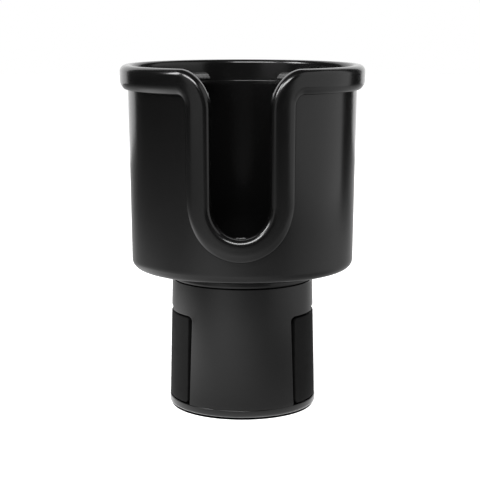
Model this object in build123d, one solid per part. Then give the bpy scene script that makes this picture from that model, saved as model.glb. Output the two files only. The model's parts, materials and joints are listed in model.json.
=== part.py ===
from build123d import *

import os
from math import cos, radians, sin

# Cup holder expander, in millimetres and degrees.
# The foot stands on Z = 0 with its centre at the origin, the handle slot opens towards -Y,
# and the two jaws slide along X. The jaws are drawn in, flush with the sleeve.

# Foot cap
foot_radius = 35.0
foot_height = 3.4
foot_lower_round = 1.0
foot_upper_round = 0.3
cap_spigot_height = 3.0
cap_spigot_wall = 1.6
cap_spigot_gap = 0.15
cap_spigot_half_width = 14.0
rail_height = 3.0
rail_width = 1.8
rail_spacing = 19.6
rail_start = 4.0
rail_end = 24.0

# Sleeve that fits the vehicle's cup holder, closed at the top by a deck
foot_proud = 0.2
sleeve_draft = 1.3
sleeve_top = 60.3
sleeve_wall = 2.2
sleeve_top_round = 0.3
deck_drop = 2.0
deck_thickness = 2.6

# Windows of the sleeve, open at the foot, with a notch in the middle of the lintel
window_half_width = 24.3
window_top = 45.5
window_corner_round = 2.0
window_edge_round = 0.4
notch_half_width = 7.5
notch_height = 1.6
notch_round = 0.6
jamb_thickness = 1.6
jamb_start = 15.0
jamb_rise = 4.0

# Screws that hold the foot cap and the scroll disc
screw_shank_radius = 1.35
screw_hole_radius = 1.6
screw_head_radius = 2.8
screw_head_height = 1.5
screw_head_recess = 0.2
screw_head_round = 0.4
screw_pocket_gap = 0.25
cross_length = 3.2
cross_width = 0.7
cross_depth = 0.8
cap_screw_across = 15.0
cap_screw_along = 49.6
cap_screw_length = 13.0
cap_boss_radius = 3.4
cap_boss_height = 16.0
cap_boss_web = 1.8
cap_boss_web_gap = 0.5
hub_screw_circle = 7.0
hub_screw_count = 3
hub_screw_length = 10.0

# Jaws: a drawer-shaped carrier behind a rubber pad
jaw_travel = 8.0
pad_thickness = 2.6
pad_side_gap = 0.8
pad_foot_gap = 0.6
pad_top_gap = 0.9
pad_corner_round = 1.6
pad_edge_round = 0.5
carrier_wall = 2.0
carrier_side_inset = 0.6
carrier_foot_gap = 0.3
carrier_back = 13.0
groove_gap = 0.3
web_thickness = 2.0
guide_side_gap = 0.6
guide_top_gap = 0.5
guide_back = 11.2

# Cam pins and the spiral slots of the scroll disc
pin_radius = 2.0
pin_boss_radius = 4.0
pin_seat_depth = 14.0
pin_top_gap = 0.4
scroll_angle = 150.0
scroll_gap = 0.15
scroll_end_angle = 1.5
scroll_samples = 9
disc_side_gap = 3.3
disc_rim_width = 2.8
disc_thickness = 4.0
disc_deck_gap = 0.3
disc_boss_gap = 0.5

# Hub, neck and what turns on the deck
hub_radius = 12.0
hub_gap = 0.08
hub_shoulder_radius = 20.0
washer_thickness = 0.8
washer_gap = 0.1
washer_hub_gap = 0.2
drag_ring_radius = 0.75
drag_groove_gap = 0.12
neck_gap = 0.4
neck_lower_round = 0.3
spigot_gap = 0.5
spigot_wall = 1.6
spigot_drop = 1.5
neck_rib_count = 6
neck_rib_thickness = 1.6
neck_rib_drop = 3.4

# Bowl
bowl_bottom = 66.0
rim_top = 161.5
bowl_bottom_radius = 52.5
bowl_rim_radius = 53.85
bowl_wall = 3.0
bowl_floor = 3.0
bowl_corner_round = 4.0
bowl_inside_round = 2.5
collar_height = 11.3
collar_proud = 3.6
collar_depth = 6.2
ledge_drop = 10.2
ledge_width = 1.2
lower_edge_round = 5.0
lower_edge_width = 4.0
upper_edge_round = 3.0
inner_edge_round = 1.0
ledge_edge_round = 0.5

# Handle slot and the raised band round it, measured in the plane that touches the collar's front
slot_half_width = 14.85
slot_bottom = 87.0
slot_bottom_flat = 0.5
slot_corner_round = 15.8
band_side_width = 13.6
band_bottom_width = 10.6
band_corner_round = 5.0
wedge_near = 0.6
wedge_far = 1.2

# Floor mat with round grooves
mat_thickness = 2.0
mat_gap = 0.4
mat_edge_round = 0.6
mat_groove_radius = 0.5
mat_groove_spacing = 6.0
mat_groove_start = 9.0
mat_groove_count = 6

# Soft grip tabs inside the collar
tab_root_thickness = 1.7
tab_root_height = 4.2
tab_foot_width = 1.4
tab_reach = 8.9
tab_drop = 2.1
tab_tip_thickness = 2.6
tab_tip_round = 0.8
tab_sweep = 44.0
tab_angle = 45.0

# Heights, radii and half widths that follow from the sizes above
sleeve_foot_radius = foot_radius - foot_proud
sleeve_top_radius = sleeve_foot_radius - sleeve_draft
disc_radius = sleeve_top_radius - sleeve_wall - disc_side_gap
pin_start_radius = disc_radius - disc_rim_width - pin_radius - jaw_travel
deck_top = sleeve_top - deck_drop
deck_bottom = deck_top - deck_thickness
disc_top = deck_bottom - disc_deck_gap
disc_bottom = disc_top - disc_thickness
boss_top = disc_bottom - disc_boss_gap
neck_bottom = sleeve_top + neck_gap
washer_bottom = deck_top + washer_gap
washer_top = washer_bottom + washer_thickness
drag_ring_height = (deck_top + deck_bottom) / 2
floor_top = bowl_bottom + bowl_floor
collar_bottom = rim_top - collar_height
ledge_height = rim_top - ledge_drop
front_plane = bowl_rim_radius + collar_proud
pad_bottom = foot_height + pad_foot_gap
pad_top = window_top - pad_top_gap
pad_half_width = window_half_width - pad_side_gap
carrier_half_width = pad_half_width - carrier_side_inset
carrier_bottom = foot_height + carrier_foot_gap
notch_top = window_top + notch_height
reach = 2 * bowl_rim_radius


# Radius of the sleeve's outside at a height: a straight taper from foot to top
def sleeve_radius(height):
    share = (height - foot_height) / (sleeve_top - foot_height)
    return sleeve_foot_radius + (sleeve_top_radius - sleeve_foot_radius) * share


# Radius of the bowl's outside at a height: a straight taper from floor to rim
def bowl_radius(height):
    share = (height - bowl_bottom) / (rim_top - bowl_bottom)
    return bowl_bottom_radius + (bowl_rim_radius - bowl_bottom_radius) * share


# Radius of the wall above the ledge inside the collar
def recess_radius():
    return bowl_radius(ledge_height) - bowl_wall + ledge_width


# Solid turned about Z from a closed outline of (radius, height) points and a rounding for each corner
def turned(points, rounds=0.0, angle=360.0):
    outline = FilletPolyline(*points, radius=rounds, close=True)
    return revolve(Plane.XZ * make_face(outline), Axis.Z, revolution_arc=angle)


# Ring with plain upright walls
def ring(inner, outer, bottom, top):
    return turned([(inner, bottom), (outer, bottom), (outer, top), (inner, top)])


# Everything inside the sleeve's tapered outside, less a depth, between two heights
def sleeve_core(depth, bottom, top):
    return turned([
        (0, bottom), (sleeve_radius(bottom) - depth, bottom),
        (sleeve_radius(top) - depth, top), (0, top),
    ])


# Box between two corners
def block(low, high):
    size = [top - bottom for bottom, top in zip(low, high)]
    centre = [(top + bottom) / 2 for bottom, top in zip(low, high)]
    return Pos(*centre) * Box(*size)


# Upright cylinder between two heights
def post(x, y, radius, bottom, top):
    return Pos(x, y, (bottom + top) / 2) * Cylinder(radius, top - bottom)


# Solid that widens away from the Z axis like the rays through a front outline, so its walls are radial
def radial_wedge(points, rounds):
    outline = make_face(FilletPolyline(*points, radius=rounds, close=True))
    sections = []
    for share in (wedge_near, wedge_far):
        section = scale(Plane.XZ * outline, by=(share, 1, 1))
        sections.append(Pos(0, -share * front_plane, 0) * section)
    return loft(sections, ruled=True)


# What the handle slot removes: a U with a round bottom, whose upper corners run out into the rim
def slot_wedge():
    width = slot_half_width
    bottom_round = width - slot_bottom_flat / 2
    above = rim_top + collar_proud
    points = [
        (-reach, above), (-reach, rim_top), (-width, rim_top), (-width, slot_bottom),
        (width, slot_bottom), (width, rim_top), (reach, rim_top), (reach, above),
    ]
    rounds = [0, 0, slot_corner_round, bottom_round, bottom_round, slot_corner_round, 0, 0]
    return radial_wedge(points, rounds)


# Outline of the raised band round the slot, grown by a spare width, with hollow corners at the collar
def band_wedge(spare):
    width = slot_half_width + band_side_width + spare
    bottom_round = width - slot_bottom_flat / 2
    hollow_round = band_corner_round - spare
    bottom = slot_bottom - band_bottom_width - spare
    shoulder = collar_bottom - spare
    side = width + 2 * band_corner_round
    middle = (collar_bottom + rim_top) / 2
    points = [
        (-side, middle), (-side, shoulder), (-width, shoulder), (-width, bottom),
        (width, bottom), (width, shoulder), (side, shoulder), (side, middle),
    ]
    rounds = [0, 0, hollow_round, bottom_round, bottom_round, hollow_round, 0, 0]
    return radial_wedge(points, rounds)


# Ring as thick as the collar between two heights, along the bowl's taper
def collar_ring(bottom, top):
    outer = collar_proud
    inner = collar_proud - collar_depth
    return turned([
        (bowl_radius(bottom) + inner, bottom), (bowl_radius(bottom) + outer, bottom),
        (bowl_radius(top) + outer, top), (bowl_radius(top) + inner, top),
    ])


# Whether an edge lies on the collar's outer face, apart from the seam of that face
def on_collar_face(edge):
    middle = edge @ 0.5
    distance = (middle.X ** 2 + middle.Y ** 2) ** 0.5
    near = abs(distance - bowl_radius(middle.Z) - collar_proud) < 0.02
    return near and edge.geom_type != GeomType.LINE


# Collar and band in one, grown by a spare width
def raised_region(spare):
    band_foot = slot_bottom - band_bottom_width - collar_proud
    band = collar_ring(band_foot, rim_top) & band_wedge(spare)
    return collar_ring(collar_bottom - spare, rim_top) + band


# Collar and band as one raised piece. Its lower rounding is wider than its visible part: the spare width
# is trimmed off, so the arc ends at a small upright step. The slot is cut, then rim and slot are rounded.
def raised_collar():
    whole = raised_region(lower_edge_round - lower_edge_width)
    lower = [
        edge for edge in whole.edges()
        if on_collar_face(edge) and (edge @ 0.5).Z < collar_bottom + upper_edge_round
    ]
    whole = fillet(lower, lower_edge_round) & raised_region(0)
    cutter = slot_wedge()
    cut = whole - cutter
    upper = [edge for edge in new_edges(whole, cutter, combined=cut) if on_collar_face(edge)]
    return fillet(upper, upper_edge_round)


# Bowl wall and floor as one solid block, before it is hollowed
def bowl_block():
    points = [
        (0, bowl_bottom), (bowl_bottom_radius, bowl_bottom),
        (bowl_rim_radius, rim_top), (0, rim_top),
    ]
    return turned(points, [0, bowl_corner_round, 0, 0])


# Hollow of the bowl with its rounded floor corner and the wider recess above the ledge
def bowl_hollow():
    above = rim_top + bowl_wall
    points = [
        (0, floor_top), (bowl_radius(floor_top) - bowl_wall, floor_top),
        (bowl_radius(ledge_height) - bowl_wall, ledge_height), (recess_radius(), ledge_height),
        (recess_radius(), above), (0, above),
    ]
    return turned(points, [0, bowl_inside_round, ledge_edge_round, 0, 0, 0])


# Skirt of the neck with the spigot that drops inside the sleeve's top
def neck_skirt():
    outer = sleeve_top_radius - sleeve_wall - spigot_gap
    inner = outer - spigot_wall
    root = bowl_bottom + bowl_floor / 2
    foot = neck_bottom - spigot_drop
    points = [
        (inner, root), (inner, foot), (outer, foot), (outer, neck_bottom),
        (sleeve_top_radius, neck_bottom), (sleeve_top_radius, root),
    ]
    return turned(points, [0, 0, 0, 0, neck_lower_round, 0])


# Centres of the hub screws
def hub_screw_places():
    angles = [radians(90 + 360 * index / hub_screw_count) for index in range(hub_screw_count)]
    return [(hub_screw_circle * cos(angle), hub_screw_circle * sin(angle)) for angle in angles]


# Hub with its shoulder, ribs to the neck, the groove of the drag ring and the pilot holes
def hub_and_ribs():
    root = bowl_bottom + bowl_floor / 2
    hub = post(0, 0, hub_radius, disc_top, root) + post(0, 0, hub_shoulder_radius, washer_top, root)
    rib_end = sleeve_top_radius - sleeve_wall - spigot_gap
    half = neck_rib_thickness / 2
    rib = block((hub_shoulder_radius - half, -half, bowl_bottom - neck_rib_drop), (rib_end, half, root))
    hub += [Rot(0, 0, 360 * index / neck_rib_count) * rib for index in range(neck_rib_count)]
    groove_half = drag_ring_radius + drag_groove_gap
    hub -= ring(
        hub_radius - 2 * drag_ring_radius, hub_radius + drag_ring_radius,
        drag_ring_height - groove_half, drag_ring_height + groove_half,
    )
    hole_top = disc_bottom + screw_head_recess + screw_head_height + hub_screw_length
    hub -= [post(x, y, screw_shank_radius, disc_top, hole_top) for x, y in hub_screw_places()]
    return hub


# Bowl, collar, band, neck and hub: one moulding
def bowl():
    body = bowl_block() - slot_wedge() + raised_collar() - bowl_hollow()
    rim = [
        edge for edge in body.edges().filter_by(GeomType.CIRCLE)
        if abs((edge @ 0.5).Z - rim_top) < 0.01 and abs(edge.radius - recess_radius()) < 0.01
    ]
    body = fillet(rim, inner_edge_round)
    return body + neck_skirt() + hub_and_ribs()


# Rubber mat on the bowl's floor with round grooves in its top
def floor_mat():
    radius = bowl_radius(floor_top) - bowl_wall - bowl_inside_round - mat_gap
    top = floor_top + mat_thickness
    points = [(0, floor_top), (radius, floor_top), (radius, top), (0, top)]
    mat = turned(points, [0, 0, mat_edge_round, 0])
    for index in range(mat_groove_count):
        groove = mat_groove_start + index * mat_groove_spacing
        mat -= Pos(0, 0, top) * Torus(groove, mat_groove_radius)
    return mat


# Soft tab: a root strip on the ledge and a fin that leans down towards the middle of the bowl
def grip_tab(middle_angle):
    wall = recess_radius()
    root_top = ledge_height + tab_root_height
    tip = wall - tab_reach
    tip_top = root_top - tab_drop
    points = [
        (wall, ledge_height), (wall, root_top), (wall - tab_root_thickness, root_top),
        (tip, tip_top), (tip, tip_top - tab_tip_thickness), (wall - tab_foot_width, ledge_height),
    ]
    tab = turned(points, [0, 0, tab_tip_round, tab_tip_round, tab_tip_round, 0], tab_sweep)
    return Rot(0, 0, middle_angle - tab_sweep / 2) * tab


# Slip washer between the hub's shoulder and the deck
def thrust_washer():
    return ring(hub_radius + washer_hub_gap, hub_shoulder_radius, washer_bottom, washer_top)


# Rubber ring in the hub's groove
def drag_ring():
    return Pos(0, 0, drag_ring_height) * Torus(hub_radius - drag_ring_radius, drag_ring_radius)


# Centres of the cap screws
def cap_screw_places():
    across = cap_screw_across / 2
    along = cap_screw_along / 2
    return [(x, y) for x in (-across, across) for y in (-along, along)]


# Screw with its head down, a cross recess in the head, and its shank standing up
def screw(x, y, face, length):
    low = face + screw_head_recess
    high = low + screw_head_height
    head = turned(
        [(0, low), (screw_head_radius, low), (screw_head_radius, high), (0, high)],
        [0, screw_head_round, 0, 0],
    )
    bar = Box(cross_length, cross_width, 2 * cross_depth)
    cross = Pos(0, 0, low) * (bar + Rot(0, 0, 90) * bar)
    shank = post(0, 0, screw_shank_radius, high, high + length)
    return Pos(x, y, 0) * (head - cross + shank)


# Pocket for a screw's head and the clearance hole above it
def screw_pocket(x, y, face, through):
    depth = screw_head_recess + screw_head_height
    pocket = post(x, y, screw_head_radius + screw_pocket_gap, face - depth, face + depth)
    return pocket + post(x, y, screw_hole_radius, face, through)


# Point of the spiral: its radius grows evenly with the angle, by the jaw's travel over the bowl's turn
def spiral_point(angle, offset):
    distance = pin_start_radius + jaw_travel * angle / scroll_angle + offset
    return (distance * cos(radians(angle)), distance * sin(radians(angle)))


# Spiral slot for one cam pin, with round ends just past the pin's last places
def scroll_slot():
    half = pin_radius + scroll_gap
    first = -scroll_end_angle
    last = scroll_angle + scroll_end_angle
    step = (last - first) / (scroll_samples - 1)
    angles = [first + step * index for index in range(scroll_samples)]
    outer = Spline(*[spiral_point(angle, half) for angle in angles])
    inner = Spline(*[spiral_point(angle, -half) for angle in angles])
    ends = []
    for angle, side in ((first, -90), (last, 90)):
        x, y = spiral_point(angle, 0)
        beyond = (x + half * cos(radians(angle + side)), y + half * sin(radians(angle + side)))
        ends.append(ThreePointArc(spiral_point(angle, half), beyond, spiral_point(angle, -half)))
    outline = make_face([outer, ends[1], inner, ends[0]])
    return Pos(0, 0, disc_bottom) * extrude(outline, disc_thickness)


# Scroll disc under the deck: two spiral slots and three screw pockets
def scroll_disc():
    disc = post(0, 0, disc_radius, disc_bottom, disc_top)
    slot = scroll_slot()
    disc -= [slot, Rot(0, 0, 180) * slot]
    disc -= [screw_pocket(x, y, disc_bottom, disc_top) for x, y in hub_screw_places()]
    return disc


# Opening of both windows, cut along X, with the notch in the lintel
def window_prism():
    half = window_half_width
    notch = notch_half_width
    points = [
        (-half, -foot_height), (half, -foot_height), (half, window_top), (notch, window_top),
        (notch, notch_top), (-notch, notch_top), (-notch, window_top), (-half, window_top),
    ]
    rounds = [0, 0, window_corner_round] + 4 * [notch_round] + [window_corner_round]
    outline = make_face(FilletPolyline(*points, radius=rounds, close=True))
    return extrude(Plane.YZ * outline, reach, both=True)


# Bosses for the cap screws, each tied to the sleeve's wall by a web
def cap_bosses():
    top = foot_height + cap_boss_height
    web_bottom = foot_height + cap_spigot_height + cap_boss_web_gap
    half = cap_boss_web / 2
    bosses = []
    for x, y in cap_screw_places():
        bosses.append(post(x, y, cap_boss_radius, foot_height, top))
        low, high = sorted((y, foot_radius if y > 0 else -foot_radius))
        bosses.append(block((x - half, low, web_bottom), (x + half, high, top)))
    return bosses


# Returns of the wall along the windows' upright sides, which guide the jaws
def jambs():
    top = window_top + jamb_rise
    inner = window_half_width
    outer = inner + jamb_thickness
    walls = []
    for x_side in (-1, 1):
        for y_side in (-1, 1):
            x_low, x_high = sorted((x_side * jamb_start, x_side * foot_radius))
            y_low, y_high = sorted((y_side * inner, y_side * outer))
            walls.append(block((x_low, y_low, foot_height), (x_high, y_high, top)))
    return walls


# Whether an edge lies on the sleeve's outside
def on_sleeve_face(edge):
    middle = edge @ 0.5
    distance = (middle.X ** 2 + middle.Y ** 2) ** 0.5
    return abs(distance - sleeve_radius(middle.Z)) < 0.02


# Edges where the windows' upright sides and lintels meet the sleeve's outside
def window_edges(shell):
    return [
        edge for edge in shell.edges()
        if on_sleeve_face(edge) and foot_height < (edge @ 0.5).Z < notch_top + window_edge_round
    ]


# Sleeve with its deck, windows, jambs and screw bosses: one moulding
def base_shell():
    bore = hub_radius + hub_gap
    points = [
        (sleeve_radius(foot_height) - sleeve_wall, foot_height), (sleeve_foot_radius, foot_height),
        (sleeve_top_radius, sleeve_top), (sleeve_top_radius - sleeve_wall, sleeve_top),
        (sleeve_radius(deck_top) - sleeve_wall, deck_top), (bore, deck_top), (bore, deck_bottom),
        (sleeve_radius(deck_bottom) - sleeve_wall, deck_bottom),
    ]
    shell = turned(points, [0, 0, sleeve_top_round, 0, 0, 0, 0, 0]) - window_prism()
    core = sleeve_core(sleeve_wall / 2, foot_height, sleeve_top)
    for piece in cap_bosses() + jambs():
        shell += piece & core
    shell = fillet(window_edges(shell), window_edge_round)
    hole_top = screw_head_recess + screw_head_height + cap_screw_length
    shell -= [post(x, y, screw_shank_radius, foot_height, hole_top) for x, y in cap_screw_places()]
    return shell


# Foot cap with its spigots, the rails of the jaws and four screw pockets
def foot_cap():
    points = [(0, 0), (foot_radius, 0), (foot_radius, foot_height), (0, foot_height)]
    cap = turned(points, [0, foot_lower_round, foot_upper_round, 0])
    spigot_top = foot_height + cap_spigot_height
    outer = sleeve_radius(spigot_top) - sleeve_wall - cap_spigot_gap
    spigot = ring(outer - cap_spigot_wall, outer, foot_height, spigot_top)
    width = cap_spigot_half_width
    cap += spigot & block((-width, -reach, foot_height), (width, reach, spigot_top))
    rail_top = foot_height + rail_height
    for y in (-rail_spacing / 2, rail_spacing / 2):
        low = y - rail_width / 2
        high = y + rail_width / 2
        cap += block((rail_start, low, foot_height), (rail_end, high, rail_top))
        cap += block((-rail_end, low, foot_height), (-rail_start, high, rail_top))
    cap -= [screw_pocket(x, y, 0, foot_height) for x, y in cap_screw_places()]
    return cap


# Rubber pad of the right jaw, flush with the sleeve
def right_pad():
    outline = RectangleRounded(2 * pad_half_width, pad_top - pad_bottom, pad_corner_round)
    middle = (pad_top + pad_bottom) / 2
    prism = extrude(Plane.YZ * (Pos(0, middle) * outline), reach)
    layer = sleeve_core(0, pad_bottom, pad_top) - sleeve_core(pad_thickness, pad_bottom, pad_top)
    pad = layer & prism
    return fillet([edge for edge in pad.edges() if on_sleeve_face(edge)], pad_edge_round)


# Carrier of the right jaw: a drawer open to the middle, with a web, the pin's boss and a guide rib
def right_carrier():
    half = carrier_half_width
    inside = half - carrier_wall
    low = carrier_bottom + carrier_wall
    high = pad_top - carrier_wall
    body = sleeve_core(pad_thickness, carrier_bottom, pad_top)
    body &= block((carrier_back, -half, carrier_bottom), (foot_radius, half, pad_top))
    hollow = sleeve_core(pad_thickness + carrier_wall, low, high)
    body -= hollow & block((0, -inside, low), (foot_radius, inside, high))
    half_web = web_thickness / 2
    web = block((pin_start_radius, -half_web, low), (foot_radius, half_web, high))
    body += web & sleeve_core(pad_thickness + carrier_wall / 2, low, high)
    guide_half = notch_half_width - guide_side_gap
    guide = block((guide_back, -guide_half, high), (foot_radius, guide_half, notch_top - guide_top_gap))
    body += guide & sleeve_core(pad_thickness, high, notch_top)
    body += post(pin_start_radius, 0, pin_boss_radius, carrier_bottom, boss_top)
    body -= post(pin_start_radius, 0, pin_radius, boss_top - pin_seat_depth, boss_top)
    groove_half = rail_width / 2 + groove_gap
    for y in (-rail_spacing / 2, rail_spacing / 2):
        corner = (rail_end + groove_gap, y + groove_half, low)
        body -= block((0, y - groove_half, foot_height), corner)
    return body


# Steel pin pressed in the right carrier's boss
def right_cam_pin():
    return post(pin_start_radius, 0, pin_radius, boss_top - pin_seat_depth, disc_top - pin_top_gap)


# The same piece on the left jaw, half a turn round
def turned_to_left(piece):
    return Rot(0, 0, 180) * piece


pieces = {
    "bowl": bowl(),
    "floor_mat": floor_mat(),
    "rear_right_tab": grip_tab(tab_angle),
    "rear_left_tab": grip_tab(180 - tab_angle),
    "front_left_tab": grip_tab(180 + tab_angle),
    "front_right_tab": grip_tab(360 - tab_angle),
    "thrust_washer": thrust_washer(),
    "drag_ring": drag_ring(),
    "scroll_disc": scroll_disc(),
    "hub_screws": Compound([screw(x, y, disc_bottom, hub_screw_length) for x, y in hub_screw_places()]),
    "base_shell": base_shell(),
    "foot_cap": foot_cap(),
    "cap_screws": Compound([screw(x, y, 0, cap_screw_length) for x, y in cap_screw_places()]),
    "right_carrier": right_carrier(),
    "right_pad": right_pad(),
    "right_cam_pin": right_cam_pin(),
    "left_carrier": turned_to_left(right_carrier()),
    "left_pad": turned_to_left(right_pad()),
    "left_cam_pin": turned_to_left(right_cam_pin()),
}

os.makedirs("parts", exist_ok=True)
for name, piece in pieces.items():
    export_step(piece, f"parts/{name}.step")
    print(f"{name}: {len(piece.solids())} solids, {piece.volume:.1f} mm3")
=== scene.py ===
import json
import math

import bmesh
import bpy
import numpy as np
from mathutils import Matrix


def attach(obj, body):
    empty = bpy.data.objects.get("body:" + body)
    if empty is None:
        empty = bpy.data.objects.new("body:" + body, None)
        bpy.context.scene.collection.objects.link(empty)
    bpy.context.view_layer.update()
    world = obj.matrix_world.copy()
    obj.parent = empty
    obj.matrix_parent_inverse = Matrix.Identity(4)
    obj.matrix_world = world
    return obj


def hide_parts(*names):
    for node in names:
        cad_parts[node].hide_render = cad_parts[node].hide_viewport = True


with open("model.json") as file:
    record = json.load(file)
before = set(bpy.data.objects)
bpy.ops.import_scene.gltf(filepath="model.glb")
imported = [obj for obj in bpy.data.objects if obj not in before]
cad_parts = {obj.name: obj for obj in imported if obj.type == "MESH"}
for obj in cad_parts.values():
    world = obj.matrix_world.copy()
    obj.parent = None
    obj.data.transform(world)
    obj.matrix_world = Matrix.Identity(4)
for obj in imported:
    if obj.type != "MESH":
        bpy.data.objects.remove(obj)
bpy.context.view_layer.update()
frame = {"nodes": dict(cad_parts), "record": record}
print("frame loaded:", len(frame["nodes"]), "nodes")


# A socket of a node tree: + - * on it, or on a number and it, add Math nodes.
class Wire:
    def __init__(self, paint, socket):
        self.paint = paint
        self.socket = socket

    def __add__(self, other):
        return self.paint.math("ADD", self, other)

    def __sub__(self, other):
        return self.paint.math("SUBTRACT", self, other)

    def __rsub__(self, other):
        return self.paint.math("SUBTRACT", other, self)

    def __mul__(self, other):
        return self.paint.math("MULTIPLY", self, other)

    __radd__ = __add__
    __rmul__ = __mul__


# The emptied node tree of a material or a world, with one method that adds any node.
class Paint:
    def __init__(self, owner):
        self.owner = owner
        owner.use_nodes = True
        self.tree = owner.node_tree
        self.tree.nodes.clear()

    # Settings are set first, then each socket gets a value or a link, and output picks what comes back.
    def node(self, kind, settings=None, values=None, output=0):
        made = self.tree.nodes.new(kind)
        for key, value in (settings or {}).items():
            setattr(made, key, value)
        for key, value in (values or {}).items():
            if isinstance(value, Wire):
                self.tree.links.new(value.socket, made.inputs[key])
            else:
                made.inputs[key].default_value = value
        return Wire(self, made.outputs[output]) if made.outputs else None

    # One operation on two numbers or sockets
    def math(self, operation, first, second):
        return self.node("ShaderNodeMath", {"operation": operation}, {0: first, 1: second})

    # Smooth step of a value between two limits, from 0 to 1
    def step(self, value, low, high):
        return self.node("ShaderNodeMapRange", {"interpolation_type": "SMOOTHSTEP"},
                         {"Value": value, "From Min": low, "From Max": high})

    # Noise from 0 to 1 on Object coordinates, with features of a real size in metres
    def noise(self, size, detail, roughness, stretch=(1, 1, 1)):
        place = self.node("ShaderNodeTexCoord", output="Object")
        place = self.node("ShaderNodeMapping", values={"Vector": place, "Scale": stretch})
        return self.node("ShaderNodeTexNoise", values={
            "Vector": place, "Scale": 1 / size, "Detail": detail, "Roughness": roughness})

    # Colour that goes from the first to the second as share goes from 0 to 1
    def mix(self, share, first, second):
        return self.node("ShaderNodeMix", {"data_type": "RGBA"}, {0: share, 6: first, 7: second}, 2)

    # Bump by a height in metres
    def bump(self, height):
        return self.node("ShaderNodeBump", values={"Height": height, "Strength": 1.0, "Distance": 1.0})

    # Distance in metres from a point of the object's own space
    def distance(self, point):
        place = self.node("ShaderNodeTexCoord", output="Object")
        return self.node("ShaderNodeVectorMath", {"operation": "DISTANCE"}, {0: place, 1: point}, "Value")

    # Material with one shader of these values
    def surface(self, values):
        shader = self.node("ShaderNodeBsdfPrincipled", values=values)
        self.node("ShaderNodeOutputMaterial", values={"Surface": shader})
        return self.owner


# Opaque grey of a level from 0 to 1
def grey(level):
    return (level, level, level, 1.0)


# In the materials each noise is (size in metres, detail, roughness), and each pair of limits says between
# which values of it a mark fades in. What (noise - 0.5) adds goes up and down about nothing.
# Satin moulded plastic: dark grey with cloudy gloss, a fine spark-eroded grain and faint rubbed patches.
satinPlastic = {"colour": 0.0025, "gloss": 0.19, "cloud": (0.018, 4.0, 0.5), "cloudGloss": 0.07,
                "rub": (0.004, 5.0, 0.65), "rubLimits": (0.60, 0.78), "rubShare": 0.5,
                "rubbedColour": 0.0045, "rubGloss": 0.04,
                "grain": (0.00035, 2.0, 0.5), "grainHeight": 0.0000035}


# Clouds and rubbed patches change the gloss, and the patches are a little paler.
def makeSatinPlastic():
    look = satinPlastic
    paint = Paint(bpy.data.materials.new("satin moulded plastic"))
    cloud = paint.noise(*look["cloud"])
    rub = paint.step(paint.noise(*look["rub"]), *look["rubLimits"])
    grain = paint.noise(*look["grain"])
    colour = paint.mix(rub * look["rubShare"], grey(look["colour"]), grey(look["rubbedColour"]))
    gloss = look["gloss"] + (cloud - 0.5) * look["cloudGloss"] + rub * look["rubGloss"]
    return paint.surface({"Base Color": colour, "Roughness": gloss,
                          "Normal": paint.bump(grain * look["grainHeight"])})


# Moulded rubber: matt, with a slightly coarser grain and pale dust in its hollows.
padRubber = {"colour": 0.006, "gloss": 0.62, "level": 0.1,
             "dust": (0.006, 6.0, 0.6), "dustLimits": (0.45, 0.75), "dustShare": 0.6,
             "dustColour": 0.010, "dustGloss": 0.1,
             "grain": (0.0006, 3.0, 0.6), "grainHeight": 0.000006}


# Dust makes the rubber paler and duller where its noise is high.
def makePadRubber():
    look = padRubber
    paint = Paint(bpy.data.materials.new("moulded rubber"))
    dust = paint.step(paint.noise(*look["dust"]), *look["dustLimits"])
    grain = paint.noise(*look["grain"])
    colour = paint.mix(dust * look["dustShare"], grey(look["colour"]), grey(look["dustColour"]))
    return paint.surface({"Base Color": colour, "Roughness": look["gloss"] + dust * look["dustGloss"],
                          "Specular IOR Level": look["level"],
                          "Normal": paint.bump(grain * look["grainHeight"])})


# Soft elastomer of the tabs, with a coarse stipple whose tops carry a painted highlight that makes them
# paler.
tabRubber = {"colour": 0.02, "highlightColour": 0.045, "gloss": 0.24,
             "stipple": (0.0009, 2.0, 0.6), "highlightLimits": (0.4, 0.65), "stippleHeight": 0.000012}


# One noise gives both the stipple's height and the painted highlight that makes its tops paler.
def makeTabRubber():
    look = tabRubber
    paint = Paint(bpy.data.materials.new("stippled elastomer"))
    stipple = paint.noise(*look["stipple"])
    paintedHighlight = paint.step(stipple, *look["highlightLimits"])
    return paint.surface({"Base Color": paint.mix(paintedHighlight, grey(look["colour"]), grey(look["highlightColour"])),
                          "Roughness": look["gloss"], "Normal": paint.bump(stipple * look["stippleHeight"])})


# Natural acetal: milky, with faint flow marks that are flattened along the part's height.
slipPlastic = {"colour": (0.70, 0.68, 0.61, 1.0), "markColour": (0.62, 0.60, 0.52, 1.0), "gloss": 0.38,
               "mark": (0.01, 4.0, 0.55), "markStretch": (1, 1, 3), "markLimits": (0.35, 0.7),
               "markGloss": 0.12, "grain": (0.0005, 2.0, 0.5), "grainHeight": 0.000003}


# The flow marks tint the plastic and change its gloss.
def makeSlipPlastic():
    look = slipPlastic
    paint = Paint(bpy.data.materials.new("natural acetal"))
    mark = paint.noise(*look["mark"], look["markStretch"])
    colour = paint.mix(paint.step(mark, *look["markLimits"]), look["colour"], look["markColour"])
    grain = paint.noise(*look["grain"])
    return paint.surface({"Base Color": colour,
                          "Roughness": look["gloss"] + (mark - 0.5) * look["markGloss"],
                          "Normal": paint.bump(grain * look["grainHeight"])})


# Steel with fine lines and dull stains, shared by screws and pins
steelLook = {"lines": (0.0008, 4.0, 0.6), "lineGloss": 0.15, "lineHeight": 0.000004,
             "stain": (0.003, 4.0, 0.6), "stainLimits": (0.4, 0.75), "stainShare": 0.5,
             "stainColour": (0.32, 0.31, 0.28, 1.0)}


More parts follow.
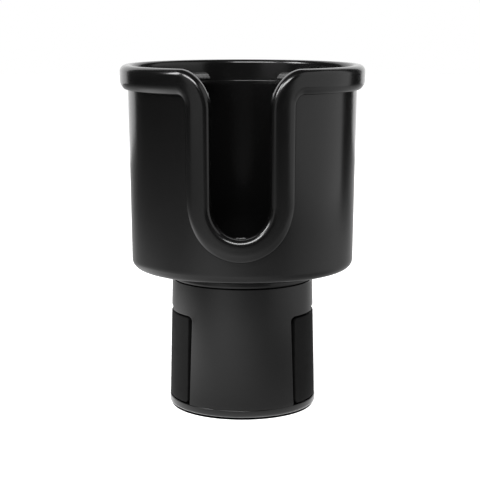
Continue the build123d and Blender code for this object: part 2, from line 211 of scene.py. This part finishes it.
# Steel of a colour and gloss, with its lines closer together where stretch is over 1.
def makeSteel(name, colour, gloss, stretch):
    look = steelLook
    paint = Paint(bpy.data.materials.new(name))
    lines = paint.noise(*look["lines"], stretch)
    stain = paint.step(paint.noise(*look["stain"]), *look["stainLimits"])
    tone = paint.mix(stain * look["stainShare"], colour, look["stainColour"])
    return paint.surface({"Base Color": tone, "Metallic": 1.0,
                          "Roughness": gloss + (lines - 0.5) * look["lineGloss"],
                          "Normal": paint.bump(lines * look["lineHeight"])})


looks = {
    "black_moulding": makeSatinPlastic(),
    "black_rubber": makePadRubber(),
    "soft_tab": makeTabRubber(),
    "slip_plastic": makeSlipPlastic(),
    "screw_steel": makeSteel("zinc plated steel", colour=(0.55, 0.55, 0.54, 1.0), gloss=0.32,
                             stretch=(1, 1, 1)),
    "pin_steel": makeSteel("ground steel", colour=(0.6, 0.6, 0.6, 1.0), gloss=0.24, stretch=(1, 1, 12)),
}
print("materials made:", len(looks))

slotOf = {row["node"]: row["material_slot"] for row in frame["record"]["subparts"]}
bodyOf = {node: body for body, nodes in frame["record"]["behaviour"]["bodies"].items() for node in nodes}
for name, node in frame["nodes"].items():
    node.data.materials.clear()
    node.data.materials.append(looks[slotOf[name]])
print("nodes dressed")

millimetre = 0.001  # in metres, since the pieces below are worked out in millimetres
weldReach = 2e-6    # points nearer than this, in metres, become one


# Piece from grids of points in millimetres, each rows by columns by (x, y, z): neighbours on a grid make
# quads, and the grids are welded where their points meet. It stands for the CAD node and moves with it.
# Edges that turn by more than sharp degrees stay sharp.
def makePiece(name, grids, standsFor, sharp=32.0):
    points, quads, start = [], [], 0
    for grid in grids:
        rows, columns = grid.shape[:2]
        index = start + np.arange(rows * columns).reshape(rows, columns)
        corners = [index[:-1, :-1], index[:-1, 1:], index[1:, 1:], index[1:, :-1]]
        quads.append(np.stack(corners, -1).reshape(-1, 4))
        points.append(grid.reshape(-1, 3) * millimetre)
        start += rows * columns
    mesh = bpy.data.meshes.new(name)
    mesh.from_pydata(np.concatenate(points).tolist(), [], np.concatenate(quads).tolist())
    work = bmesh.new()
    work.from_mesh(mesh)
    bmesh.ops.remove_doubles(work, verts=work.verts, dist=weldReach)
    bmesh.ops.recalc_face_normals(work, faces=work.faces)
    openEdges = sum(not edge.is_manifold for edge in work.edges)
    work.to_mesh(mesh)
    work.free()
    mesh.shade_smooth()
    mesh.set_sharp_from_angle(angle=math.radians(sharp))
    mesh.materials.append(looks[slotOf[standsFor]])
    piece = bpy.data.objects.new(name, mesh)
    bpy.context.scene.collection.objects.link(piece)
    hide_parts(standsFor)
    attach(piece, bodyOf[standsFor])
    print(name, "made:", len(mesh.polygons), "faces,", openEdges, "open edges")


# Points from bearing round Z (0 at the front, growing to the right), radius and height
def roundZ(bearing, radius, height):
    bearing, radius, height = np.broadcast_arrays(bearing, radius, height)
    return np.stack([radius * np.sin(bearing), -radius * np.cos(bearing), height], -1)


# The same points with left and right swapped
def mirrored(grid):
    return grid * np.array([-1.0, 1.0, 1.0])


# Arc of (radius, height) points about a centre between two angles in degrees
def arcPoints(centre, size, start, end, steps):
    angle = np.radians(np.linspace(start, end, steps + 1))
    return np.stack([centre[0] + size * np.cos(angle), centre[1] + size * np.sin(angle)], -1)


# Bowl, in millimetres. Slot and band are measured in the plane that touches the collar's front. The rows
# and steps say how finely each stretch is divided, the levels are heights of single rows, and the shares
# say how far along a stretch its rows stand.
bowlForm = {
    "bottom": 66.0, "bottomRadius": 52.5, "rim": 161.5, "rimRadius": 53.85, "wall": 3.0, "floor": 69.0,
    "cornerRound": 4.0, "insideRound": 2.5, "ledge": 151.3, "ledgeWidth": 0.7, "recessWidth": 1.3,
    "proud": 3.6, "collarFoot": 150.2, "slotHalf": 14.45, "slotFoot": 87.0, "slotCorner": 18.0,
    "bandHalf": 28.45, "bandFoot": 76.4, "bandCorner": 5.0,
    "edgeRound": 3.0, "innerRound": 1.8, "ledgeRound": 0.35,
    "lowerArc": 5.0, "lowerWidth": 4.0, "lowerTurn": 44.0, "lowerLip": 2.5,
    "bottomSteps": 30, "sideSteps": 26, "cornerSteps": 18, "rimSteps": 110,
    "innerRows": 8, "edgeRows": 9, "lowerRows": 7, "outsideRows": 30, "insideRows": 26,
    "cornerRows": 8, "wellRows": 6, "thirds": (0.33, 0.67), "lipShares": (0.25, 0.5, 0.75, 1.0),
    "ledgeDrops": (1.0, 0.62, 0.3, 0.08, 0.0, 0.0), "floorRings": (40.0, 20.0, 0.0),
    "outsideLevels": (146.2, 147.4, 148.8), "wellLevel": 149.0, "recessLevels": (153.0, 155.0, 157.0, 159.0),
}


# Outer wall: its radius grows evenly from the bottom to the rim.
def wallRadius(height):
    form = bowlForm
    share = (height - form["bottom"]) / (form["rim"] - form["bottom"])
    return form["bottomRadius"] + (form["rimRadius"] - form["bottomRadius"]) * share


# Inner wall: the outer one less the wall, spread by a quarter circle into the ledge. Where raised is true it
# is the recess above the ledge, which flares up to the rim.
def innerRadius(height, raised):
    form = bowlForm
    climb = np.clip(height - form["ledge"] + form["ledgeRound"], 0, form["ledgeRound"])
    spread = form["ledgeRound"] - np.sqrt(form["ledgeRound"] ** 2 - climb ** 2)
    rise = np.clip((height - form["ledge"]) / (form["rim"] - form["ledge"]), 0, 1)
    width = form["ledgeWidth"] + (form["recessWidth"] - form["ledgeWidth"]) * rise
    recess = wallRadius(form["ledge"]) - form["wall"] + width
    return np.where(raised, recess, wallRadius(height) - form["wall"] + spread)


# Half of the line round the slot and rim as (bearing, height): a quarter circle at the slot's foot, a
# straight side, a quarter circle into the rim, and the rim round to the back.
def slotLine(half, foot, cornerRound, top, cornerAngles):
    form = bowlForm
    plane = form["rimRadius"] + form["proud"]
    quarter = np.linspace(0, math.pi / 2, form["bottomSteps"] + 1)
    side = np.linspace(foot + half, top - cornerRound, form["sideSteps"] + 1)[1:]
    across = np.concatenate([half * np.sin(quarter), np.full(side.shape, half),
                             half + cornerRound * (1 - np.cos(cornerAngles))])
    up = np.concatenate([foot + half * (1 - np.cos(quarter)), side,
                         top - cornerRound * (1 - np.sin(cornerAngles))])
    bearing = np.arctan2(across, plane)
    rim = bearing[-1] + (math.pi - bearing[-1]) * np.linspace(0, 1, form["rimSteps"] + 1)[1:]
    return np.concatenate([bearing, rim]), np.concatenate([up, np.full(rim.shape, top)])


# Lower edge of band and collar as (distance from its border, depth under its face): an arc, a curve that
# bends down from the arc's end to the lip, and the lip's foot on the wall.
def lowerEdge():
    form = bowlForm
    arc, width = form["lowerArc"], form["lowerWidth"]
    angles = np.radians(np.linspace(0, form["lowerTurn"], form["lowerRows"]))
    edge = [(width - arc * math.sin(angle), arc * (1 - math.cos(angle))) for angle in angles]
    reach, depth = edge[-1]
    tip = arc - math.sqrt(arc ** 2 - width ** 2)
    for share in form["lipShares"]:
        back, middle, ahead = (1 - share) ** 2, 2 * share * (1 - share), share ** 2
        edge.append((reach * back, depth * back + tip * middle + form["lowerLip"] * ahead))
    return edge + [(0.0, form["proud"])]


# Band and collar as lines of (points, bearings, heights) between the slot line and the band's border: the
# inner wall's rounding, the edge's top, its rounding, the face and the lower edge. Above is true where the
# slot line runs above the ledge.
def bandLines(slot, border, above):
    form = bowlForm
    edge, edgeUp = slot
    band, bandUp = border
    length = np.hypot((form["rimRadius"] + form["proud"]) * (band - edge), bandUp - edgeUp)
    innerRound, edgeRound, proud = form["innerRound"], form["edgeRound"], form["proud"]

    # One line at a distance from the slot line, with the radius at each height
    def line(distance, radiusAt):
        bearing = edge + (band - edge) * distance / length
        height = edgeUp + (bandUp - edgeUp) * distance / length
        return roundZ(bearing, radiusAt(height), height), bearing, height

    lines = []
    for angle in np.radians(np.linspace(90, 0, form["innerRows"])):
        inset = innerRound * (1 - math.sin(angle))
        lines.append(line(innerRound * (1 - math.cos(angle)),
                          lambda height: innerRadius(height, above) + inset))
    innerEnd = innerRadius(edgeUp, above) + innerRound
    outerStart = wallRadius(edgeUp) + proud - edgeRound
    for share in form["thirds"]:
        lines.append((roundZ(edge, innerEnd + (outerStart - innerEnd) * share, edgeUp), edge, edgeUp))
    for angle in np.radians(np.linspace(0, 90, form["edgeRows"])):
        drop = edgeRound * (1 - math.sin(angle))
        lines.append(line(edgeRound * (1 - math.cos(angle)),
                          lambda height: wallRadius(height) + proud - drop))
    for share in form["thirds"]:
        distance = edgeRound + (length - form["lowerWidth"] - edgeRound) * share
        lines.append(line(distance, lambda height: wallRadius(height) + proud))
    for reach, depth in lowerEdge():
        lines.append(line(length - reach, lambda height: wallRadius(height) + proud - depth))
    return lines


# Wall below a slot line as four grids: columns of equal bearing that hang from the line. Beside the
# slot the rows keep the side's heights, above it they follow levels up to the line, and below it
# they spread evenly down to a low height, then go on along a turned outline of (radius, height).
def wallGrids(bearing, up, radiusOf, lineRadius, levels, low, rows, outline):
    form = bowlForm
    first, last = form["bottomSteps"], form["bottomSteps"] + form["sideSteps"]
    column = np.concatenate([bearing[:first + 1], bearing[last + 1:]])
    top = np.concatenate([up[:first + 1], np.full(len(bearing) - last - 1, up[first])])
    share = np.linspace(0, 1, rows + 1)[:, None]
    height = top + (low - top) * share
    lower = roundZ(column, radiusOf(height, False), height)
    turn = roundZ(column, outline[:, :1], outline[:, 1:])
    beside = np.repeat(bearing[None, last:], last - first + 1, 0)
    beside[:, 0] = bearing[first:last + 1]
    height = np.repeat(up[first:last + 1, None], beside.shape[1], 1)
    middle = roundZ(beside, radiusOf(height, False), height)
    level = np.array([up[last]] + [value for value, _ in levels] + [math.inf])[:, None]
    raised = np.array([False] + [flag for _, flag in levels] + [True])[:, None]
    limit = up[None, last:]
    height = np.minimum(level, limit)
    radius = np.where(level >= limit, lineRadius[None, last:], radiusOf(height, raised))
    upper = roundZ(bearing[None, last:], radius, height)
    return [lower, turn, middle, upper]


# Bowl: the band and collar carried along the slot line, and the outer and inner walls that hang from their
# borders, made for the right half and mirrored. Rows of the slot's corner meet the ledge's rounding.
def makeBowl():
    form = bowlForm
    ledgeLevels = form["ledge"] - form["ledgeRound"] * np.array(form["ledgeDrops"])
    ledgeAngles = np.arcsin((ledgeLevels - form["rim"] + form["slotCorner"]) / form["slotCorner"])
    angles = np.linspace(0, math.pi / 2, form["cornerSteps"] + 1)[1:]
    angles = np.sort(np.concatenate([angles, ledgeAngles]))
    slot = slotLine(form["slotHalf"], form["slotFoot"], form["slotCorner"], form["rim"], angles)
    border = slotLine(form["bandHalf"], form["bandFoot"], form["bandCorner"], form["collarFoot"], angles)
    corner = form["bottomSteps"] + form["sideSteps"] + 1
    above = np.arange(len(slot[0])) > corner + np.searchsorted(angles, ledgeAngles[-1])
    lines = bandLines(slot, border, above)
    grids = [np.stack([points for points, _, _ in lines])]

    outsideLow = form["bottom"] + form["cornerRound"]
    foot = arcPoints((wallRadius(outsideLow) - form["cornerRound"], outsideLow),
                     form["cornerRound"], 0, -90, form["cornerRows"])
    _, bearing, up = lines[-1]
    grids += wallGrids(bearing, up, lambda height, raised: wallRadius(height), wallRadius(up),
                       [(level, True) for level in form["outsideLevels"]], outsideLow,
                       form["outsideRows"], np.concatenate([foot, neckOutline()]))

    insideLow = form["floor"] + form["insideRound"]
    well = arcPoints((innerRadius(insideLow, False) - form["insideRound"], insideLow),
                     form["insideRound"], 0, -90, form["wellRows"])
    well = np.concatenate([well, [(radius, form["floor"]) for radius in form["floorRings"]]])
    levels = [(form["wellLevel"], False)] + [(level, False) for level in ledgeLevels[:-1]]
    levels += [(form["ledge"], True)] + [(level, True) for level in form["recessLevels"]]
    _, bearing, up = lines[0]
    grids += wallGrids(bearing, up, innerRadius, innerRadius(up, above), levels, insideLow,
                       form["insideRows"], well)
    makePiece("bowlBody", grids + [mirrored(grid) for grid in grids], "bowl")


# Turned outline under the bowl, in millimetres: bottom, neck with its spigot, hub shoulder, ring groove and
# hub. The neck tapers out from the bottom and runs straight for the last stretch above its foot.
neckForm = {"bottomRings": (44.0, 38.0), "topRadius": 33.1, "radius": 33.5, "foot": 60.7, "straight": 1.0,
            "footRound": 0.3, "footRows": 3, "spigot": 30.8, "spigotIn": 29.2, "spigotFoot": 59.4,
            "shoulder": 20.0, "shoulderFoot": 59.2, "hub": 12.0, "hubFoot": 55.4, "groove": 10.5,
            "grooveTop": 57.87, "grooveFoot": 56.13}


# The outline as (radius, height) points, straight between them, with the neck's foot rounded.
def neckOutline():
    form = neckForm
    under = bowlForm["bottom"]
    rounding = arcPoints((form["radius"] - form["footRound"], form["foot"] + form["footRound"]),
                         form["footRound"], 0, -90, form["footRows"])
    return np.concatenate([
        [(radius, under) for radius in form["bottomRings"]],
        [(form["topRadius"], under), (form["radius"], form["foot"] + form["straight"])], rounding,
        [(form["spigot"], form["foot"]), (form["spigot"], form["spigotFoot"]),
         (form["spigotIn"], form["spigotFoot"]), (form["spigotIn"], under), (form["shoulder"], under),
         (form["shoulder"], form["shoulderFoot"]), (form["hub"], form["shoulderFoot"]),
         (form["hub"], form["grooveTop"]), (form["groove"], form["grooveTop"]),
         (form["groove"], form["grooveFoot"]), (form["hub"], form["grooveFoot"]),
         (form["hub"], form["hubFoot"]), (0.0, form["hubFoot"])]])


makeBowl()

# Rubber pads in the sleeve's windows, in millimetres and degrees of bearing: a cone layer whose sides point
# at the axis, so that the groove round it looks deep.
padForm = {"foot": 3.4, "footRadius": 34.8, "top": 60.3, "topRadius": 33.5, "low": 4.0, "high": 44.6,
           "side": 47.2, "cornerRound": 1.6, "edgeRound": 0.35, "thick": 2.6,
           "cornerSteps": 8, "sideSteps": 40, "fillSteps": 14, "edgeRows": 7, "depthShares": (0.66, 0.33)}


# Border of a rounded rectangle about its middle as (across, up), inset by a distance
def roundedBorder(halfWide, halfHigh, corner, inset):
    quarter = np.radians(np.linspace(0, 90, padForm["cornerSteps"] + 1))
    size = max(corner - inset, 0.0)
    middleX, middleZ = halfWide - inset - size, halfHigh - inset - size
    across = middleX + size * np.sin(quarter)
    up = middleZ + size * np.cos(quarter)
    share = np.linspace(-1, 1, padForm["sideSteps"] + 1)[1:-1]
    top = np.stack([share * middleX, np.full(share.shape, halfHigh - inset)], -1)
    right = np.stack([np.full(share.shape, halfWide - inset), -share * middleZ], -1)
    corners = [np.stack([across, up], -1), np.stack([across, -up], -1)[::-1],
               np.stack([-across, -up], -1), np.stack([-across, up], -1)[::-1]]
    border = np.concatenate([top, corners[0], right, corners[1], -top, corners[2], -right, corners[3]])
    return np.concatenate([border, border[:1]])


# Pad: rings of the border, each with its inset, its depth under the face and its share of the full size:
# from the middle of the back outwards, up the side, round the edge and over the face to its middle.
def makePad(name, bearing, standsFor):
    form = padForm
    halfHigh, middle = (form["high"] - form["low"]) / 2, (form["high"] + form["low"]) / 2
    scale, thick, edgeRound = form["topRadius"], form["thick"], form["edgeRound"]
    halfWide = math.radians(90 - form["side"]) * scale
    shares = np.linspace(0, 1, form["fillSteps"] + 1)
    steps = [(0.0, thick, share) for share in shares]
    steps += [(0.0, thick * share + edgeRound * (1 - share), 1.0) for share in form["depthShares"]]
    for angle in np.radians(np.linspace(0, 90, form["edgeRows"])):
        steps.append((edgeRound * (1 - math.cos(angle)), edgeRound * (1 - math.sin(angle)), 1.0))
    steps += [(edgeRound * 2, 0.0, share) for share in shares[::-1]]
    rings = []
    for inset, depth, share in steps:
        border = roundedBorder(halfWide, halfHigh, form["cornerRound"], inset) * share
        height = middle + border[:, 1]
        along = (height - form["foot"]) / (form["top"] - form["foot"])
        radius = form["footRadius"] + (form["topRadius"] - form["footRadius"]) * along - depth
        rings.append(roundZ(math.radians(bearing) + border[:, 0] / scale, radius, height))
    makePiece(name, [np.stack(rings)], standsFor)


makePad("rightPad", 90, "right_pad")
makePad("leftPad", -90, "left_pad")

# Soft tabs, in millimetres and degrees: a root on the ledge against the recess wall, and a fin that droops
# more and more towards its thin rounded lip. Sharp is the turn past which an edge stays sharp.
tabForm = {"rootTop": 155.5, "rootFoot": 50.8, "finStart": 50.2, "finEnd": 43.0,
           "slopeStart": -0.02, "slopeEnd": 0.6, "thickStart": 2.4, "thickEnd": 1.1,
           "spread": 22.0, "finSteps": 18, "turnSteps": 30, "lipRows": 7, "sharp": 28.0}


# Tab: an upper and a lower line of (radius, height) that meet at the lip's point, turned through the
# spread, with a face on the wall and one at each end. The fin's slope grows evenly, so its drop is a
# parabola, and the lip is a half circle of the fin's end thickness.
def makeTab(name, bearing, standsFor):
    form = tabForm
    share = np.linspace(0, 1, form["finSteps"] + 1)
    length = form["finStart"] - form["finEnd"]
    finRadius = form["finStart"] - length * share
    slope = form["slopeEnd"] - form["slopeStart"]
    top = form["rootTop"] - length * (form["slopeStart"] * share + slope * share ** 2 / 2)
    thick = form["thickStart"] + (form["thickEnd"] - form["thickStart"]) * share
    ledge = bowlForm["ledge"]
    recess = wallRadius(ledge) - bowlForm["wall"] + bowlForm["ledgeWidth"]
    flare = (bowlForm["recessWidth"] - bowlForm["ledgeWidth"]) / (bowlForm["rim"] - ledge)
    rootRadius = recess + flare * (form["rootTop"] - ledge)
    half = form["thickEnd"] / 2
    turn = np.radians(np.linspace(90, 0, form["lipRows"]))[1:]
    lip, tipUp = finRadius[-1] - half * np.cos(turn), top[-1] - half
    rootMiddle = (rootRadius + finRadius[0]) / 2
    upper = np.concatenate([[(rootRadius, form["rootTop"]), (rootMiddle, form["rootTop"])],
                            np.stack([finRadius, top], -1),
                            np.stack([lip, tipUp + half * np.sin(turn)], -1)])
    lower = np.concatenate([[(recess, ledge), (form["rootFoot"], ledge)],
                            np.stack([finRadius, top - thick], -1),
                            np.stack([lip, tipUp - half * np.sin(turn)], -1)])
    angles = np.radians(bearing + form["spread"] * np.linspace(-1, 1, form["turnSteps"] + 1))
    faces = [roundZ(angles[:, None], line[None, :, 0], line[None, :, 1])
             for line in (upper, lower, np.stack([upper[0], lower[0]]))]
    radius, height = np.moveaxis(np.stack([upper, lower]), -1, 0)
    ends = [roundZ(angle, radius, height) for angle in (angles[0], angles[-1])]
    makePiece(name, faces + ends, standsFor, form["sharp"])


for tabName, tabBearing, tabNode in (("rearRightTab", 135, "rear_right_tab"),
                                     ("rearLeftTab", -135, "rear_left_tab"),
                                     ("frontLeftTab", -45, "front_left_tab"),
                                     ("frontRightTab", 45, "front_right_tab")):
    makeTab(tabName, tabBearing, tabNode)

# Camera at the photograph's place: lens and sensor in millimetres, the rest in metres and degrees.
camera = {"lens": 108.4, "sensor": 36.0, "distance": 0.682, "side": -0.00115, "height": 0.1919,
          "pitch": 9.49, "turn": 1.0}


# The place in front of the object, a little to the side, turned round the object's axis with its view.
def makeCamera():
    turn = math.radians(camera["turn"])
    side, distance = camera["side"], camera["distance"]
    data = bpy.data.cameras.new("camera")
    data.sensor_width = camera["sensor"]
    data.lens = camera["lens"]
    made = bpy.data.objects.new("camera", data)
    made.location = (side * math.cos(turn) + distance * math.sin(turn),
                     side * math.sin(turn) - distance * math.cos(turn), camera["height"])
    made.rotation_euler = (math.radians(90 - camera["pitch"]), 0.0, turn)
    bpy.context.scene.collection.objects.link(made)
    bpy.context.scene.camera = made


makeCamera()

# Floor that is white to the camera but keeps the object's shadow, with a painted contact shadow right under
# the
# foot: a disc, shifted a little to the front, where its colour and its white glow go to black. In the
# object's reflections it is darker, with a pale ring near the object that fades outwards, and soft pale or
# dark spots.
# Distances in metres from the object's axis, spots as (x, y, reach, glow).
floorLook = {"size": 6.0, "colour": 0.80, "nearLift": 0.80, "farLift": 1.0, "near": 0.12, "far": 0.5,
             "paintedShadowStart": 0.0334, "paintedShadowEnd": 0.0342, "paintedShadowShift": -0.004,
             "mirroredColour": 0.12, "mirroredNear": 0.40, "mirroredFar": 0.0,
             "mirrorStart": 0.15, "mirrorEnd": 0.7,
             "spots": [(-0.10, -0.20, 0.26, 0.40), (-0.19, 0.02, 0.2, 1.0), (0.15, -0.09, 0.2, -0.2),
                       (0.38, -0.1, 0.3, 0.3), (0.55, 0.15, 0.35, 0.35), (0.04, 0.88, 0.78, 0.85),
                       (-0.2, -0.45, 0.35, 0.3), (0.0, 0.0, 0.052, 4.0)]}


# Square floor whose diffuse colour is lit as any, plus a glow by distance: for the camera it lifts the floor
# to white, for the object's reflections it is the fading ring and the spots. Under the foot the colour and
# the glow both go to black as a painted contact shadow.
def makeFloor():
    look = floorLook
    half = look["size"] / 2
    mesh = bpy.data.meshes.new("floor")
    mesh.from_pydata([(-half, -half, 0), (half, -half, 0), (half, half, 0), (-half, half, 0)],
                     [], [(0, 1, 2, 3)])
    floor = bpy.data.objects.new("floor", mesh)
    bpy.context.scene.collection.objects.link(floor)
    paint = Paint(bpy.data.materials.new("pale floor"))
    seen = paint.node("ShaderNodeLightPath", output="Is Camera Ray")
    inMirror = paint.node("ShaderNodeLightPath", output="Is Glossy Ray")
    away = paint.distance((0.0, 0.0, 0.0))
    # Painted contact shadow: 0 on a disc under the foot, shifted to the front, 1 outside it and in
    # reflections
    clear = paint.step(paint.distance((0.0, look["paintedShadowShift"], 0.0)), look["paintedShadowStart"], look["paintedShadowEnd"])
    clear = clear + (1 - clear) * inMirror
    pale = paint.mix(inMirror, grey(look["colour"]), grey(look["mirroredColour"]))
    lit = paint.node("ShaderNodeBsdfDiffuse", values={"Color": paint.mix(clear, grey(0.0), pale)})
    far = paint.step(away, look["near"], look["far"])
    lift = look["nearLift"] + far * (look["farLift"] - look["nearLift"])
    fade = paint.step(away, look["mirrorStart"], look["mirrorEnd"])
    glint = look["mirroredNear"] + fade * (look["mirroredFar"] - look["mirroredNear"])
    for x, y, reach, spotGlow in look["spots"]:
        glint = glint + (1 - paint.step(paint.distance((x, y, 0.0)), 0.0, reach)) * spotGlow
    strength = (seen * lift + inMirror * glint) * clear
    glow = paint.node("ShaderNodeEmission", values={"Color": grey(1.0), "Strength": strength})
    both = paint.node("ShaderNodeAddShader", values={0: lit, 1: glow})
    paint.node("ShaderNodeOutputMaterial", values={"Surface": both})
    mesh.materials.append(paint.owner)


makeFloor()

# White world to the camera and a dim grey room for everything else
worldLook = {"seen": 1.0, "light": 0.06}


# The world's strength goes from light to seen where a ray comes from the camera or through the object.
def makeWorld():
    paint = Paint(bpy.data.worlds.new("studio"))
    shown = paint.math("MAXIMUM", *[paint.node("ShaderNodeLightPath", output=name)
                                    for name in ("Is Camera Ray", "Is Transmission Ray")])
    strength = worldLook["light"] + shown * (worldLook["seen"] - worldLook["light"])
    back = paint.node("ShaderNodeBackground", values={"Color": grey(1.0), "Strength": strength})
    paint.node("ShaderNodeOutputWorld", values={"Surface": back})
    bpy.context.scene.world = paint.owner


makeWorld()

# Softboxes: bearing from the camera's side, distance, height, the height it aims at, width and height in
# metres and degrees, and how bright each looks in a mirror, where 1 is white
softboxes = {
    "rightCard": {"bearing": 81, "distance": 0.6, "height": 0.42, "aim": 0.42,
                  "size": (0.86, 0.84), "glow": 0.78},
    "leftCard": {"bearing": -35, "distance": 1.0, "height": 0.45, "aim": 0.45,
                 "size": (0.54, 0.9), "glow": 0.5},
    "rearCard": {"bearing": 186, "distance": 1.0, "height": 0.7, "aim": 0.7,
                 "size": (1.74, 1.4), "glow": 1.2},
    "frontTop": {"bearing": -14, "distance": 0.9, "height": 0.965, "aim": 0.15,
                 "size": (0.9, 0.34), "glow": 17.0},
    "highLeft": {"bearing": -66, "distance": 0.8, "height": 0.7, "aim": 0.15,
                 "size": (0.25, 0.46), "glow": 17.0},
}


# Each is an area lamp on a circle round the object's axis, turned to face it. Its power is its glow times
# pi times its area, and the camera doesn't see it.
def makeSoftboxes():
    for name, box in softboxes.items():
        data = bpy.data.lights.new(name, "AREA")
        data.shape = "RECTANGLE"
        data.size, data.size_y = box["size"]
        data.energy = box["glow"] * math.pi * data.size * data.size_y
        made = bpy.data.objects.new(name, data)
        made.visible_camera = False
        bpy.context.scene.collection.objects.link(made)
        bearing, distance, height = math.radians(box["bearing"]), box["distance"], box["height"]
        made.location = (distance * math.sin(bearing), -distance * math.cos(bearing), height)
        made.rotation_euler = (math.atan2(distance, height - box["aim"]), 0.0, bearing)


makeSoftboxes()
bpy.context.scene.view_settings.view_transform = "Standard"
print("camera, floor, world and softboxes placed")
